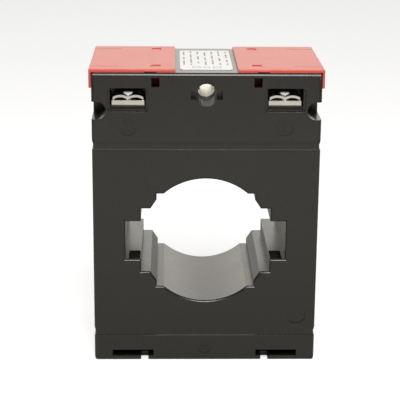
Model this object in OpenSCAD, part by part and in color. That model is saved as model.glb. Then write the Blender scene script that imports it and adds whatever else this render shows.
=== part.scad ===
// Window current transformer in a moulded case, in millimetres.
// The origin is the middle of the base, +Z is up and the terminals face -Y.

/* [Case] */
// Width of the case
case_w = 86; // [82:0.5:96]
// Depth of the case, from the front face to the rear face
case_d = 54.6; // [50:0.2:64]
// Height of the case without the terminal covers
case_h = 114.3; // [113:0.1:124]
// Thickness of the outer walls
wall = 2; // [1.6:0.1:2.2]
// Radius of the long outer edges
edge_r = 1.3; // [0.6:0.1:1.6]
// Radius of the lower corners, seen from the front
corner_r = 1.8; // [0.8:0.1:2.5]
// Height of the base band, up to the lip of the lower groove
base_band_h = 10.4; // [8:0.1:12]
// Height of the terminal block, from the top down to the lip of the upper groove
head_h = 29.2; // [27:0.1:31]
// Height of each groove that runs round the case
groove_h = 3.6; // [2:0.1:4]
// Depth of each groove that runs round the case
groove_t = 0.5; // [0.2:0.05:0.7]

/* [Field] */
// Distance from the side of the case to the raised field
field_side = 5; // [3:0.1:7]
// Height of the raised field above the corners around it
field_t = 0.5; // [0.2:0.05:0.8]
// Width of the slope around the raised field
field_slope = 1.6; // [0.5:0.1:2.5]
// Width cut off each upper corner of the field
field_up_x = 20.7; // [12:0.1:24]
// Height cut off each upper corner of the field
field_up_z = 18; // [12:0.1:22]
// Width cut off each lower corner of the field
field_low_x = 16.5; // [10:0.1:22]
// Height cut off each lower corner of the field
field_low_z = 16.5; // [10:0.1:20]

/* [Window] */
// Height of the centre of the window above the base
window_z = 49.3; // [47:0.1:51]
// Diameter of the round part of the window
round_d = 49; // [46:0.2:52]
// Width of the widest busbar step
slot1_w = 61.4; // [58:0.2:62]
// Height of the widest busbar step
slot1_h = 15.2; // [12:0.2:16]
// Width of the middle busbar step
slot2_w = 49.5; // [46:0.2:52]
// Height of the middle busbar step
slot2_h = 25.3; // [22:0.2:27]
// Width of the narrowest busbar step
slot3_w = 37.5; // [34:0.2:39]
// Height of the narrowest busbar step
slot3_h = 37.1; // [34:0.2:38]
// Width of the chamfer between the middle and the narrowest step
step_ch_x = 2.3; // [1:0.1:3]
// Height of the chamfer between the middle and the narrowest step
step_ch_z = 3.5; // [1:0.1:4]
// Thickness of the wall around the window
window_wall = 1.4; // [1:0.1:1.5]
// Width of the clamp recess in the floor of the widest step
recess_w = 4.4; // [3:0.1:5]
// Length of the clamp recess, back from the front face
recess_l = 11; // [8:0.5:14]
// Depth of the clamp recess
recess_t = 3; // [1.5:0.1:3.2]
// Distance from the end of the widest step to the clamp recess
recess_end = 1.2; // [0.8:0.1:2]

/* [Terminals] */
// Distance from the side of the case to the axis of a terminal screw
terminal_side = 13.6; // [13:0.1:15]
// Distance from the front face to the axis of a terminal screw
screw_back = 7.8; // [7:0.1:9]
// Width inside a terminal pocket
pocket_w = 13.4; // [12.8:0.1:13.8]
// Depth of a terminal pocket
pocket_d = 14; // [13:0.1:16]
// Width of the flared mouth of a terminal pocket
mouth_w = 15.2; // [14:0.1:16]
// Depth of the flared mouth of a terminal pocket
mouth_t = 1; // [0.5:0.1:1.5]
// Distance from the top of the case to the ceiling of a pocket
pocket_top = 5.7; // [5:0.1:6]
// Height of the mouth of a pocket
mouth_h = 8.9; // [8:0.1:9.5]
// Distance from the top of the case to the shelf under a terminal bar
shelf_drop = 12.8; // [12:0.1:13.2]
// Distance from the front face to the edge of the shelf
shelf_back = 2.7; // [2:0.1:3.2]
// Width of a terminal bar
bar_w = 12.3; // [10:0.1:12.6]
// Thickness of a terminal bar
bar_t = 1.9; // [1.2:0.1:2]
// Length of a terminal bar
bar_l = 18.6; // [17:0.1:20]
// Width of a clamp saddle
saddle_w = 11.4; // [9:0.1:12]
// Length of a clamp saddle, along the bar
saddle_l = 8; // [6:0.1:8.4]
// Thickness of the sheet of a clamp saddle
saddle_t = 0.9; // [0.6:0.05:1]
// Height of a clamp saddle above the bar
saddle_h = 1.9; // [1.6:0.1:2.1]
// Diameter of a terminal screw's thread
screw_d = 4; // [3:0.1:4.4]
// Diameter of a terminal screw's head
head_d = 7; // [6:0.1:7.4]
// Height of a terminal screw's head
head_t = 2; // [1.5:0.1:2.2]
// Width across a square nut
nut_w = 7; // [6:0.1:8]
// Thickness of a square nut
nut_t = 3; // [2.5:0.1:3.2]
// Length of the screw thread below the nut
screw_tip = 0.5; // [0.2:0.1:0.8]

/* [Covers] */
// Thickness of the top of a terminal cover
cover_t = 1.06; // [0.9:0.02:1.4]
// Clear width between the two terminal covers
cover_gap = 23.4; // [21:0.1:26]
// Distance from the front face to the foot of a cover's lip
cover_inset = 1.6; // [1.3:0.1:2.5]
// Depth of the bevel on a cover's front and rear lip
cover_bevel = 0.8; // [0.8:0.05:2.5]
// Distance that a cover stands out past the side of the case
cover_over = 1; // [0.8:0.05:1.5]
// Height of a cover's side flap below the top of the case
flap_drop = 2.8; // [2:0.1:8]
// Distance from a face of the case to a cover's snap hook
hook_back = 9; // [7:0.1:11]
// Width of a snap hook
hook_w = 3; // [2:0.1:3.4]
// Thickness of a snap hook
hook_t = 1.4; // [1:0.1:1.8]
// Length of a snap hook below the top of the case
hook_l = 6; // [4:0.1:8]
// Distance from a terminal screw's axis to the snap hooks
hook_offset = 10.3; // [9.5:0.1:11]
// Width of a finger tab on a cover's lip
tab_w = 4.4; // [3:0.1:6]
// Height of a hook window in the front face
hook_window_h = 3.5; // [2.5:0.1:4]
// Distance from the top of the case to a hook window
hook_window_top = 1.8; // [1.5:0.1:2.5]

/* [Label] */
// Width of the rating label
label_w = 19.8; // [15:0.1:21]
// Length of the rating label
label_l = 41.2; // [30:0.1:46]
// Thickness of the rating label
label_t = 0.16; // [0.1:0.02:0.3]

/* [Boss, notches and feet] */
// Distance from the top of the case to the axis of the fixing hole
boss_drop = 8.6; // [8:0.1:9]
// Diameter of the fixing hole in the front and rear bosses
boss_hole_d = 7.9; // [7:0.1:8.2]
// Length of a boss
boss_l = 15.5; // [12:0.1:18]
// Inner diameter of the metal sleeve between the bosses
sleeve_d = 6.7; // [5:0.1:7]
// Outer diameter of the metal sleeve
sleeve_od = 8.8; // [8.5:0.1:9.4]
// Depth of a side notch, in from the side of the case
notch_t = 5.4; // [4.5:0.1:5.6]
// Height of a side notch
notch_h = 6.7; // [5:0.1:7]
// Length of a side notch, back from the face of the case
notch_l = 16; // [12:0.5:18]
// Distance from the top of the case to the top of a side notch
notch_top = 10.9; // [10.5:0.1:11.4]
// Width of a foot slot
foot_w = 16; // [12:0.1:18]
// Height of a foot slot
foot_h = 2.5; // [2:0.1:3]
// Height of a foot slot's floor above the base
foot_z = 1.9; // [1.5:0.1:2.5]
// Depth of a foot slot, back from the face of the case
foot_l = 12; // [8:0.5:16]
// Distance from the middle of the case to the middle of a foot slot
foot_x = 28; // [26:0.1:29]
// Width of the release notch under a foot slot
release_w = 2.9; // [2:0.1:4]
// Depth of the release notch, back from the face of the case
release_l = 4.8; // [3:0.1:8]

/* [Core and winding] */
// Radial and axial gap around the wound core
ring_gap = 0.3; // [0.2:0.05:0.5]
// Thickness of the outer tape
tape_t = 0.3; // [0.2:0.05:0.4]
// Thickness of the secondary winding
wind_t = 1; // [0.6:0.05:1.2]
// Thickness of the insulating cups
cup_t = 0.6; // [0.4:0.05:0.8]
// Thickness of the foam pads at the two faces of the core
pad_t = 1.2; // [0.8:0.1:2]
// Diameter of a lead wire
lead_d = 1.6; // [1:0.1:2]

/* [Fits] */
// Gap between pieces that drop into each other
fit_gap = 0.1; // [0.05:0.01:0.15]
// Radial running gap between a screw and its nut
thread_gap = 0.05; // [0.02:0.01:0.08]
// Gap around a snap hook in its slot
hook_gap = 0.3; // [0.2:0.05:0.4]
// Gap between a side flap and the side of the case
flap_gap = 0.15; // [0.1:0.01:0.3]

/* [Hidden] */

$fn = 64;
fine_fn = 128;
eps = 0.01;
over = 1;
far = 200;
half_w = case_w / 2;
half_d = case_d / 2;

black = [0.11, 0.11, 0.10];
red = [0.80, 0.22, 0.18];
nickel = [0.74, 0.73, 0.69];
steel = [0.55, 0.56, 0.58];
copper = [0.72, 0.38, 0.20];
cream = [0.85, 0.80, 0.66];
foam = [0.30, 0.30, 0.30];
lead_red = [0.60, 0.10, 0.10];

// Heights that hang from the top of the case.
upper_lip_z = case_h - head_h;
lower_lip_z = base_band_h;
shelf_z = case_h - shelf_drop;
ceiling_z = case_h - pocket_top;
mouth_z = ceiling_z - mouth_h;
sill_t = 0.8;
mouth_r = 1.5;
sill_z = mouth_z + sill_t;
boss_z = case_h - boss_drop;
rib = 1.5;
bay_gap = 0.9;
housing_z = shelf_z - nut_t - fit_gap - rib;
bay_floor_z = min(housing_z, case_h - notch_top - notch_h - rib) - bay_gap;
bay_ceiling_z = case_h - wall;

terminal_x = half_w - terminal_side;
hook_x = terminal_x - hook_offset;
screw_y = -half_d + screw_back;
bar_back = 0.6;
bar_y = -half_d + shelf_back + bar_back;
bar_top_z = shelf_z + bar_t;
saddle_top_z = bar_top_z + saddle_h;
lead_in_x = 2.2;
lead_in_y = 2;
lead_x = terminal_x - bar_w / 2 + lead_in_x;
lead_y = bar_y + bar_l - lead_in_y;
lead_stand = 0.05;

// Diametral clearances around the screw, its head and the lead wire.
bar_clear = 0.4;
saddle_clear = 0.5;
pass_clear = 0.6;
head_clear = 1.2;

// The screw head: a straight rim, a cone above it and a cross slot.
head_rim = 0.6;
head_cone = 1.6;
drive_l = 4;
drive_w = 0.8;
drive_t = 1.1;

// The groove's small lip, and the share of its height that is full depth.
lip_ch = 0.3;
groove_flat = 0.6;
recess_wall = 1.2;
release_in = 2;
sleeve_seat = 2;

// The wound core fills the ring between the window's wall and the case.
window_reach = max(norm([slot1_w / 2 + window_wall, slot1_h / 2 + window_wall]),
    norm([slot2_w / 2 + window_wall, slot2_h / 2 + window_wall]),
    norm([slot3_w / 2 + window_wall, slot3_h / 2 + window_wall]),
    round_d / 2 + window_wall);
ring_ease = 1.5;
ring_in = window_reach + ring_gap * ring_ease;
ring_out = min(half_w - wall, bay_floor_z - wall - window_z, window_z - wall) - ring_gap;
ring_half = half_d - wall - pad_t;
wind_in = tape_t;
cup_in = tape_t + wind_t;
core_in = cup_in + cup_t;
winding_arc = 352;

pin_d = 3;
pin_l = 5;
pin_boss_d = 5.8;
pin_inset = 4.5;
pin_low = 9;
pin_top = 5.2;
pin_points = [for (x = [-1, 1]) for (z = [pin_low, case_h - pin_top]) [x * (half_w - pin_inset), z]];

hole_notch_w = 11.8;
hole_notch_h = 3.1;
hole_notch_rise = 0.2;
hole_trim_in = 1.5;
hole_trim_t = wall + hole_trim_in;
hood_d = 5.4;
hood_rise = 3.6;

mark_t = 0.35;
mark_r = 3.2;
mark_drop = 20.5;
base_mark_r = 2.7;
side_mark_r = 3.9;
side_mark_in = 7.4;
side_mark_up = 8.8;
side_mark_x = half_w - side_mark_in;
side_mark_z = lower_lip_z + side_mark_up;
base_mark_up = 0.4;
base_mark_z = base_band_h / 2 + base_mark_up;
stroke_w = 0.7;
stroke_l = 3;
stroke_gap = 1.1;

// The lines around a hook's pad and across the top of a cover.
pad_mark_w = 3.8;
pad_mark_l = 5.2;
pad_mark_r = 1.2;
line_w = 0.3;
line_t = 0.2;
groove_back = 8.3;
groove_l = 11;
groove_w = 0.4;
tab_shift = 2.1;
tab_out = 0.3;
tab_in = 1.2;
tab_t = 0.5;
label_shift = 0.2;

// A rectangle whose four corners are true arcs.
module rounded_rect(w, h, r) {
    square([w - 2 * r, h], center = true);
    square([w, h - 2 * r], center = true);
    for (x = [-1, 1]) for (y = [-1, 1])
        translate([x * (w / 2 - r), y * (h / 2 - r)]) circle(r);
}

// Extrudes an outline drawn in X and Z along Y, from y0 to y1.
module along_y(y0, y1) {
    translate([0, y1, 0]) rotate([90, 0, 0]) linear_extrude(y1 - y0) children();
}

// Extrudes an outline drawn in Y and Z along X, from x0 to x1.
module along_x(x0, x1) {
    translate([x0, 0, 0]) rotate([90, 0, 90]) linear_extrude(x1 - x0) children();
}

// A box from one corner to the opposite one.
module block(a, b) {
    translate(a) cube(b - a);
}

// The front view of the case: small arcs at the top, larger ones at the base.
module case_front_2d() {
    translate([0, case_h / 2]) rounded_rect(case_w, case_h, edge_r);
}

// The solid outline of the whole case, with every long edge rounded.
module case_block() {
    intersection() {
        along_y(-half_d, half_d) difference() {
            case_front_2d();
            for (x = [-1, 1]) translate([x * half_w, 0]) difference() {
                square(2 * corner_r, center = true);
                translate([-x * corner_r, corner_r]) circle(corner_r);
            }
        }
        linear_extrude(case_h) rounded_rect(case_w, case_d, edge_r);
        along_x(-half_w, half_w) translate([0, case_h / 2]) rounded_rect(case_d, case_h, edge_r);
    }
}

// The cut of one groove, as depth and height above its lip.
module groove_2d() {
    polygon([[-over, 0], [0, 0], [groove_t, lip_ch], [groove_t, groove_h * groove_flat],
        [0, groove_h], [-over, groove_h]]);
}

// Both grooves, along the two sides and the two faces.
module grooves() {
    for (z = [lower_lip_z, upper_lip_z]) translate([0, 0, z]) {
        for (s = [0, 1]) mirror([s, 0, 0]) translate([-half_w, far / 2, 0])
            rotate([90, 0, 0]) linear_extrude(far) groove_2d();
        for (s = [0, 1]) mirror([0, s, 0]) translate([-far / 2, -half_d, 0])
            rotate([90, 0, 90]) linear_extrude(far) groove_2d();
    }
}

// Lowers the front face on the outer side of the line from p to q.
module field_edge(p, q) {
    d = q - p;
    translate([p[0], -half_d, p[1]]) rotate([0, -atan2(d[1], d[0]), 0])
        translate([-far / 2, 0, 0]) rotate([90, 0, 90]) linear_extrude(far)
            polygon([[-over, 0], [0, 0], [field_t, field_slope], [field_t, far], [-over, far]]);
}

// Cuts the corners and sides around the eight-sided field.
module field_cuts() {
    top = upper_lip_z;
    low = lower_lip_z + groove_h;
    x = half_w - field_side;
    intersection() {
        block([-half_w - over, -half_d - over, lower_lip_z + lip_ch / 3], [half_w + over, 0, top]);
        union() {
            field_edge([-x, low], [-x, top]);
            field_edge([x, top], [x, low]);
            field_edge([-x, top - field_up_z], [-x + field_up_x, top]);
            field_edge([x - field_up_x, top], [x, top - field_up_z]);
            field_edge([-x + field_low_x, low], [-x, low + field_low_z]);
            field_edge([x, low + field_low_z], [x - field_low_x, low]);
        }
    }
}

// The outline of the window, grown by g on every side.
module window_2d(g = 0) {
    square([slot1_w + 2 * g, slot1_h + 2 * g], center = true);
    square([slot2_w + 2 * g, slot2_h + 2 * g], center = true);
    square([slot3_w + 2 * g, slot3_h + 2 * g], center = true);
    circle(round_d / 2 + g, $fn = fine_fn);
    for (x = [0, 1]) for (y = [0, 1]) mirror([x, 0]) mirror([0, y])
        translate([slot3_w / 2 + g, slot2_h / 2 + g]) polygon([[-over, -over], [step_ch_x, -over],
            [step_ch_x, 0], [0, step_ch_z], [-over, step_ch_z]]);
}

// The clamp recesses in the floor of the widest step, or with g the walls around them.
module recess(g = 0) {
    x = slot1_w / 2 - recess_end - recess_w;
    z = window_z - slot1_h / 2;
    front = g > 0 ? 0 : over;
    for (s = [0, 1]) mirror([s, 0, 0])
        block([x - g, -half_d + front, z - recess_t - g],
            [x + recess_w + g, -half_d + recess_l + g, z + over]);
}

// The two hollow rooms of a half case: the core's and the terminals'.
module rooms() {
    x = half_w - wall;
    block([-x, -half_d + wall, wall], [x, eps, bay_floor_z - wall]);
    block([-x, -half_d + wall, bay_floor_z], [x, eps, bay_ceiling_z]);
}

// A side notch with a round inner end, or with g the wall around it.
module notch_2d(g = 0) {
    r = notch_h / 2 + g;
    z = case_h - notch_top - notch_h / 2;
    translate([half_w - notch_t + notch_h / 2, z]) {
        circle(r);
        translate([0, -r]) square([far, 2 * r]);
    }
}

module notches(g = 0) {
    for (s = [0, 1]) mirror([s, 0, 0]) along_y(-half_d - over, -half_d + notch_l + g) notch_2d(g);
}

module foot_blocks() {
    for (s = [-1, 1]) block([s * foot_x - foot_w / 2 - rib, -half_d, 0],
        [s * foot_x + foot_w / 2 + rib, -half_d + foot_l + rib, foot_z + foot_h + rib]);
}

module foot_cuts() {
    for (s = [0, 1]) mirror([s, 0, 0]) {
        block([foot_x - foot_w / 2, -half_d - over, foot_z],
            [foot_x + foot_w / 2, -half_d + foot_l, foot_z + foot_h]);
        block([foot_x - foot_w / 2 + release_in, -half_d - over, -over],
            [foot_x - foot_w / 2 + release_in + release_w, -half_d + release_l, foot_z + eps]);
    }
}

module boss() {
    along_y(-half_d, -half_d + boss_l + sleeve_seat)
        translate([0, boss_z]) circle(sleeve_od / 2 + rib);
}

module boss_cuts() {
    along_y(-half_d - over, 0) translate([0, boss_z]) circle(boss_hole_d / 2);
    along_y(-half_d + boss_l, over) translate([0, boss_z]) circle(sleeve_od / 2 + fit_gap);
}

// Side notches and the hood above the fixing hole, in the front face only.
module hole_trim() {
    z = boss_z + hole_notch_rise;
    block([-hole_notch_w / 2, -half_d - over, z - hole_notch_h / 2],
        [hole_notch_w / 2, -half_d + hole_trim_t, z + hole_notch_h / 2]);
    along_y(-half_d - over, -half_d + hole_trim_t)
        translate([0, boss_z + hood_rise]) circle(hood_d / 2);
}

module pin_bosses() {
    intersection() {
        case_block();
        along_y(-half_d, 0) for (p = pin_points) translate(p) circle(pin_boss_d / 2);
    }
}

// One half of the case, with everything that both halves share.
module half_shell_solid() {
    intersection() {
        case_block();
        block([-half_w, -half_d, 0], [half_w, 0, case_h]);
        union() {
            difference() {
                block([-half_w, -half_d, 0], [half_w, 0, case_h]);
                rooms();
            }
            along_y(-half_d, 0) translate([0, window_z]) window_2d(window_wall);
            notches(rib);
            foot_blocks();
            boss();
            pin_bosses();
            children();
        }
    }
}

module half_shell_cuts() {
    grooves();
    field_cuts();
    along_y(-half_d - over, over) translate([0, window_z]) window_2d();
    notches();
    foot_cuts();
    boss_cuts();
    for (s = [-1, 1]) translate([s * hook_x, -half_d + hook_back, case_h]) hook_slot();
}

module hook_slot() {
    w = hook_w + 2 * hook_gap;
    t = hook_t + 2 * hook_gap;
    translate([-w / 2, -t / 2, -wall - over]) cube([w, t, wall + 2 * over]);
}

module terminal_housings() {
    w = pocket_w / 2 + rib;
    for (s = [-1, 1]) block([s * terminal_x - w, -half_d, housing_z],
        [s * terminal_x + w, -half_d + pocket_d + rib, case_h]);
}

module terminal_cuts() {
    w = pocket_w / 2;
    for (s = [-1, 1]) translate([s * terminal_x, 0, 0]) {
        along_y(-half_d - over, -half_d + mouth_t) translate([0, (mouth_z + ceiling_z) / 2])
            rounded_rect(mouth_w, mouth_h, mouth_r);
        block([-w, -half_d, sill_z], [w, -half_d + shelf_back, ceiling_z]);
        block([-w, -half_d, shelf_z], [w, -half_d + pocket_d, ceiling_z]);
        block([-bar_w / 2 - fit_gap, -half_d, shelf_z],
            [bar_w / 2 + fit_gap, 0, bar_top_z + fit_gap]);
        translate([0, screw_y, 0]) {
            block([-nut_w / 2 - fit_gap, -nut_w / 2 - fit_gap, shelf_z - nut_t - fit_gap],
                [nut_w / 2 + fit_gap, nut_w / 2 + fit_gap, shelf_z + eps]);
            translate([0, 0, housing_z - over]) cylinder(d = screw_d + pass_clear, h = rib + 2 * over);
            translate([0, 0, ceiling_z - over]) cylinder(d = head_d + head_clear, h = far);
        }
    }
}

module hook_windows() {
    top = case_h - hook_window_top;
    for (s = [-1, 1]) block([s * hook_x - hook_w / 2, -half_d - over, top - hook_window_h],
        [s * hook_x + hook_w / 2, -half_d + wall + over, top]);
}

// A round recess for one mark on the front face.
module mark_recess(x, z, r) {
    along_y(-half_d - over, -half_d + mark_t) translate([x, z]) circle(r);
}

// A raised stroke inside a mark, from p to q, seen from the front.
module stroke(p, q) {
    d = q - p;
    t = stroke_w;
    translate([p[0], -half_d + mark_t + eps, p[1]]) rotate([0, -atan2(d[1], d[0]), 0])
        translate([-t / 2, -mark_t, -t / 2]) cube([norm(d) + t, mark_t, t]);
}

module marks() {
    z = case_h - mark_drop;
    h = stroke_l / 2;
    for (x = [-terminal_x - stroke_gap, -terminal_x + stroke_gap, terminal_x])
        stroke([x, z + h], [x, z - h]);
    stroke([-stroke_gap, base_mark_z], [stroke_gap, base_mark_z]);
}

module lead_holes() {
    for (s = [-1, 1]) translate([s * lead_x, lead_y, bay_floor_z - wall - over])
        cylinder(d = lead_d + pass_clear, h = wall + 2 * over);
}

module front_shell() {
    color(black) {
        difference() {
            half_shell_solid() {
                terminal_housings();
                recess(recess_wall);
            }
            half_shell_cuts();
            terminal_cuts();
            hook_windows();
            hole_trim();
            recess();
            lead_holes();
            for (s = [-1, 1]) mark_recess(s * terminal_x, case_h - mark_drop, mark_r);
            mark_recess(0, base_mark_z, base_mark_r);
            translate([0, field_t, 0]) mark_recess(side_mark_x, side_mark_z, side_mark_r);
            along_y(-pin_l - over, over) for (p = pin_points) translate(p) circle(pin_d / 2 + fit_gap);
        }
        marks();
    }
}

module rear_shell() {
    color(black) mirror([0, 1, 0]) {
        difference() {
            half_shell_solid();
            half_shell_cuts();
        }
        mirror([0, 1, 0]) along_y(-pin_l, wall) for (p = pin_points) translate(p) circle(pin_d / 2);
    }
}

// The right-hand cover; the left-hand one is its mirror image.
module cover() {
    x0 = cover_gap / 2;
    x1 = half_w + cover_over;
    y = half_d - cover_inset;
    top = case_h + cover_t;
    color(red) {
        difference() {
            along_x(x0, x1) translate([0, case_h]) polygon([[-y, 0], [y, 0],
                [y - cover_bevel, cover_t], [cover_bevel - y, cover_t]]);
            for (s = [-1, 1]) {
                translate([hook_x, s * (half_d - hook_back), top - line_t])
                    linear_extrude(over) difference() {
                        rounded_rect(pad_mark_w, pad_mark_l, pad_mark_r);
                        rounded_rect(pad_mark_w - 2 * line_w, pad_mark_l - 2 * line_w,
                            pad_mark_r - line_w);
                    }
                translate([0, s * (half_d - groove_back), 0])
                    block([x1 - groove_l, -groove_w / 2, top - line_t],
                        [x1 + over, groove_w / 2, top + over]);
            }
        }
        block([half_w + flap_gap, -y, case_h - flap_drop], [x1, y, case_h + eps]);
        for (s = [-1, 1]) translate([hook_x, s * (half_d - hook_back), case_h - hook_l])
            translate([-hook_w / 2, -hook_t / 2, 0]) cube([hook_w, hook_t, hook_l + eps]);
        translate([hook_x + tab_shift, -y, case_h + line_t])
            block([-tab_w / 2, -tab_out, 0], [tab_w / 2, tab_in, tab_t]);
    }
}

module right_terminal_cover() {
    cover();
}

module left_terminal_cover() {
    mirror([1, 0, 0]) cover();
}

module rating_label() {
    color("white") translate([-label_w / 2, -label_l / 2 + label_shift, case_h])
        cube([label_w, label_l, label_t]);
}

module terminal_bar(x) {
    color(nickel) difference() {
        translate([x - bar_w / 2, bar_y, shelf_z]) cube([bar_w, bar_l, bar_t]);
        translate([x, screw_y, shelf_z - over]) cylinder(d = screw_d + bar_clear, h = bar_t + 2 * over);
    }
}

module left_terminal_bar() {
    terminal_bar(-terminal_x);
}

module right_terminal_bar() {
    terminal_bar(terminal_x);
}

// A strip bent into two arches that meet at the screw.
module saddle_2d() {
    foot = saddle_w / 4;
    rise = saddle_h - saddle_t;
    r = (foot * foot + rise * rise) / (2 * rise);
    for (s = [-1, 1]) translate([s * foot, 0]) intersection() {
        difference() {
            translate([0, saddle_h - r - saddle_t]) circle(r + saddle_t);
            translate([0, rise - r]) circle(r);
        }
        translate([-foot, 0]) square([2 * foot, 2 * saddle_h]);
    }
}

module clamp_saddle(x) {
    color(nickel) difference() {
        translate([x, screw_y, bar_top_z]) along_y(-saddle_l / 2, saddle_l / 2) saddle_2d();
        translate([x, screw_y, bar_top_z - over])
            cylinder(d = screw_d + saddle_clear, h = saddle_h + 2 * over);
    }
}

module left_clamp_saddle() {
    clamp_saddle(-terminal_x);
}

module right_clamp_saddle() {
    clamp_saddle(terminal_x);
}

module terminal_screw(x) {
    tip_z = shelf_z - nut_t - screw_tip;
    color(steel) translate([x, screw_y, 0]) difference() {
        union() {
            translate([0, 0, tip_z]) cylinder(d = screw_d, h = saddle_top_z - tip_z + eps);
            translate([0, 0, saddle_top_z]) cylinder(d = head_d, h = head_t * head_rim);
            translate([0, 0, saddle_top_z + head_t * head_rim])
                cylinder(d1 = head_d, d2 = head_d - head_cone, h = head_t * (1 - head_rim));
        }
        for (a = [0, 90]) rotate(a) translate([0, 0, saddle_top_z + head_t - drive_t])
            block([-drive_l / 2, -drive_w / 2, 0], [drive_l / 2, drive_w / 2, drive_t + over]);
    }
}

module left_terminal_screw() {
    terminal_screw(-terminal_x);
}

module right_terminal_screw() {
    terminal_screw(terminal_x);
}

module square_nut(x) {
    color(steel) difference() {
        translate([x - nut_w / 2, screw_y - nut_w / 2, shelf_z - nut_t]) cube([nut_w, nut_w, nut_t]);
        translate([x, screw_y, shelf_z - nut_t - over])
            cylinder(d = screw_d + 2 * thread_gap, h = nut_t + 2 * over);
    }
}

module left_square_nut() {
    square_nut(-terminal_x);
}

module right_square_nut() {
    square_nut(terminal_x);
}

module fixing_sleeve() {
    color(nickel) along_y(-half_d + boss_l, half_d - boss_l) translate([0, boss_z]) difference() {
        circle(sleeve_od / 2);
        circle(sleeve_d / 2);
    }
}

// A ring about the window's axis, in from the core assembly's outer skin.
module ring(inset, y0, y1, arc = 360) {
    translate([0, 0, window_z]) rotate([90, 0, 0]) rotate(-90 + (360 - arc) / 2)
        rotate_extrude(angle = arc, $fn = fine_fn)
            translate([ring_in + inset, -y1]) square([ring_out - ring_in - 2 * inset, y1 - y0]);
}

module strip_core() {
    color(steel) ring(core_in, -ring_half + core_in, ring_half - core_in);
}

module core_cup() {
    color(cream) difference() {
        ring(cup_in, -ring_half + cup_in, 0);
        ring(core_in, -ring_half + core_in, over);
    }
}

module front_core_cup() {
    core_cup();
}

module rear_core_cup() {
    mirror([0, 1, 0]) core_cup();
}

// A sleeve all round the ring, between two depths below its outer skin.
module wrap(outer, inner, arc) {
    difference() {
        ring(outer, -ring_half + outer, ring_half - outer, arc);
        ring(inner, -ring_half + inner, ring_half - inner);
    }
}

module secondary_winding() {
    color(copper) wrap(wind_in, cup_in, winding_arc);
}

module winding_tape() {
    color(cream) wrap(0, wind_in, winding_arc);
}

module core_pad() {
    color(foam) ring(0, -half_d + wall, -half_d + wall + pad_t);
}

module front_core_pad() {
    core_pad();
}

module rear_core_pad() {
    mirror([0, 1, 0]) core_pad();
}

// A straight lead from the winding's outer face up to the tail of the bar.
module lead_wire(x) {
    inner = lead_x - lead_d / 2;
    foot = window_z + sqrt(ring_out * ring_out - inner * inner) + lead_stand;
    color(lead_red) translate([x, lead_y, foot]) cylinder(d = lead_d, h = shelf_z - foot);
}

module left_lead_wire() {
    lead_wire(-lead_x);
}

module right_lead_wire() {
    lead_wire(lead_x);
}

front_shell();
rear_shell();
left_terminal_cover();
right_terminal_cover();
rating_label();
left_terminal_bar();
right_terminal_bar();
left_clamp_saddle();
right_clamp_saddle();
left_terminal_screw();
right_terminal_screw();
left_square_nut();
right_square_nut();
fixing_sleeve();
strip_core();
front_core_cup();
rear_core_cup();
secondary_winding();
winding_tape();
front_core_pad();
rear_core_pad();
left_lead_wire();
right_lead_wire();
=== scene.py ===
"""Looks of a window current transformer in a moulded case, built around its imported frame."""

import logging
import math
from dataclasses import dataclass, field
from enum import Enum
from typing import Sequence

import bmesh
import bpy
from mathutils import Matrix, Vector

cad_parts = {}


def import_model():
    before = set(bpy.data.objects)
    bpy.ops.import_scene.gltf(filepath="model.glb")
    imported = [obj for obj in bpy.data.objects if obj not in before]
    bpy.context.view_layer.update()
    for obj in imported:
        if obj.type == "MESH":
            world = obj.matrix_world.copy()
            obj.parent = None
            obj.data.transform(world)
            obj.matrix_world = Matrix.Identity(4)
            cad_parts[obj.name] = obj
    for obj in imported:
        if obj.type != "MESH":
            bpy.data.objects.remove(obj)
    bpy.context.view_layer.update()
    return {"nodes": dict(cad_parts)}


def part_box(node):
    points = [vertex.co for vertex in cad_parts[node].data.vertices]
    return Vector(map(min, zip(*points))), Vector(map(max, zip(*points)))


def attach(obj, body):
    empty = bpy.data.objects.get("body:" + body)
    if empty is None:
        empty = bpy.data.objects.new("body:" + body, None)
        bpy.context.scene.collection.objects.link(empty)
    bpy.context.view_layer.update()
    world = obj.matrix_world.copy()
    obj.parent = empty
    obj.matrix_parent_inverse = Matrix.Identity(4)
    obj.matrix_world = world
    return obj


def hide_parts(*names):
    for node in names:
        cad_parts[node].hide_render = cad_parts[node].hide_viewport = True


log = logging.getLogger("transformer")
Colour = tuple[float, float, float]

MM = 0.001
WINDOW_Z = 49.3 * MM  # height of the window's axis
WELD_DIST = 0.002 * MM  # points closer than this become one
TOUCH = 0.01 * MM  # how far apart things that touch may lie
FLAT_ANGLE = math.radians(0.6)  # faces that meet at less become one
SMOOTH_ANGLE = math.radians(32.0)  # faces that meet at less shade as one surface
CORNER_ANGLE = math.radians(40.0)  # edges that turn by more are corners to round
NORMAL_WEIGHT = 80  # how far large faces lead the shading
PILL_STEPS = 5  # straight pieces in a pill's quarter turn
DUST_COLOUR = (0.35, 0.33, 0.30)
MIX_FACTOR, MIX_A, MIX_B, MIX_RESULT = 0, 6, 7, 2  # a colour Mix node's sockets


class Side(Enum):
    """The two terminals and everything that comes in pairs with them."""

    LEFT = -1
    RIGHT = 1

    @property
    def word(self) -> str:
        """The side's name as the frame's nodes spell it."""
        return self.name.lower()


class Zone(Enum):
    """Kinds of edge on a moulding, each with its own rounding."""

    WINDOW = "window"
    POCKET = "pocket"
    HOLE = "hole"
    LIP = "lip"
    SEAM = "seam"


# ---------------------------------------------------------------- node helpers


def rgba(colour: Colour) -> tuple[float, float, float, float]:
    """Adds a full alpha to a colour."""
    return (*colour, 1.0)


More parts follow.
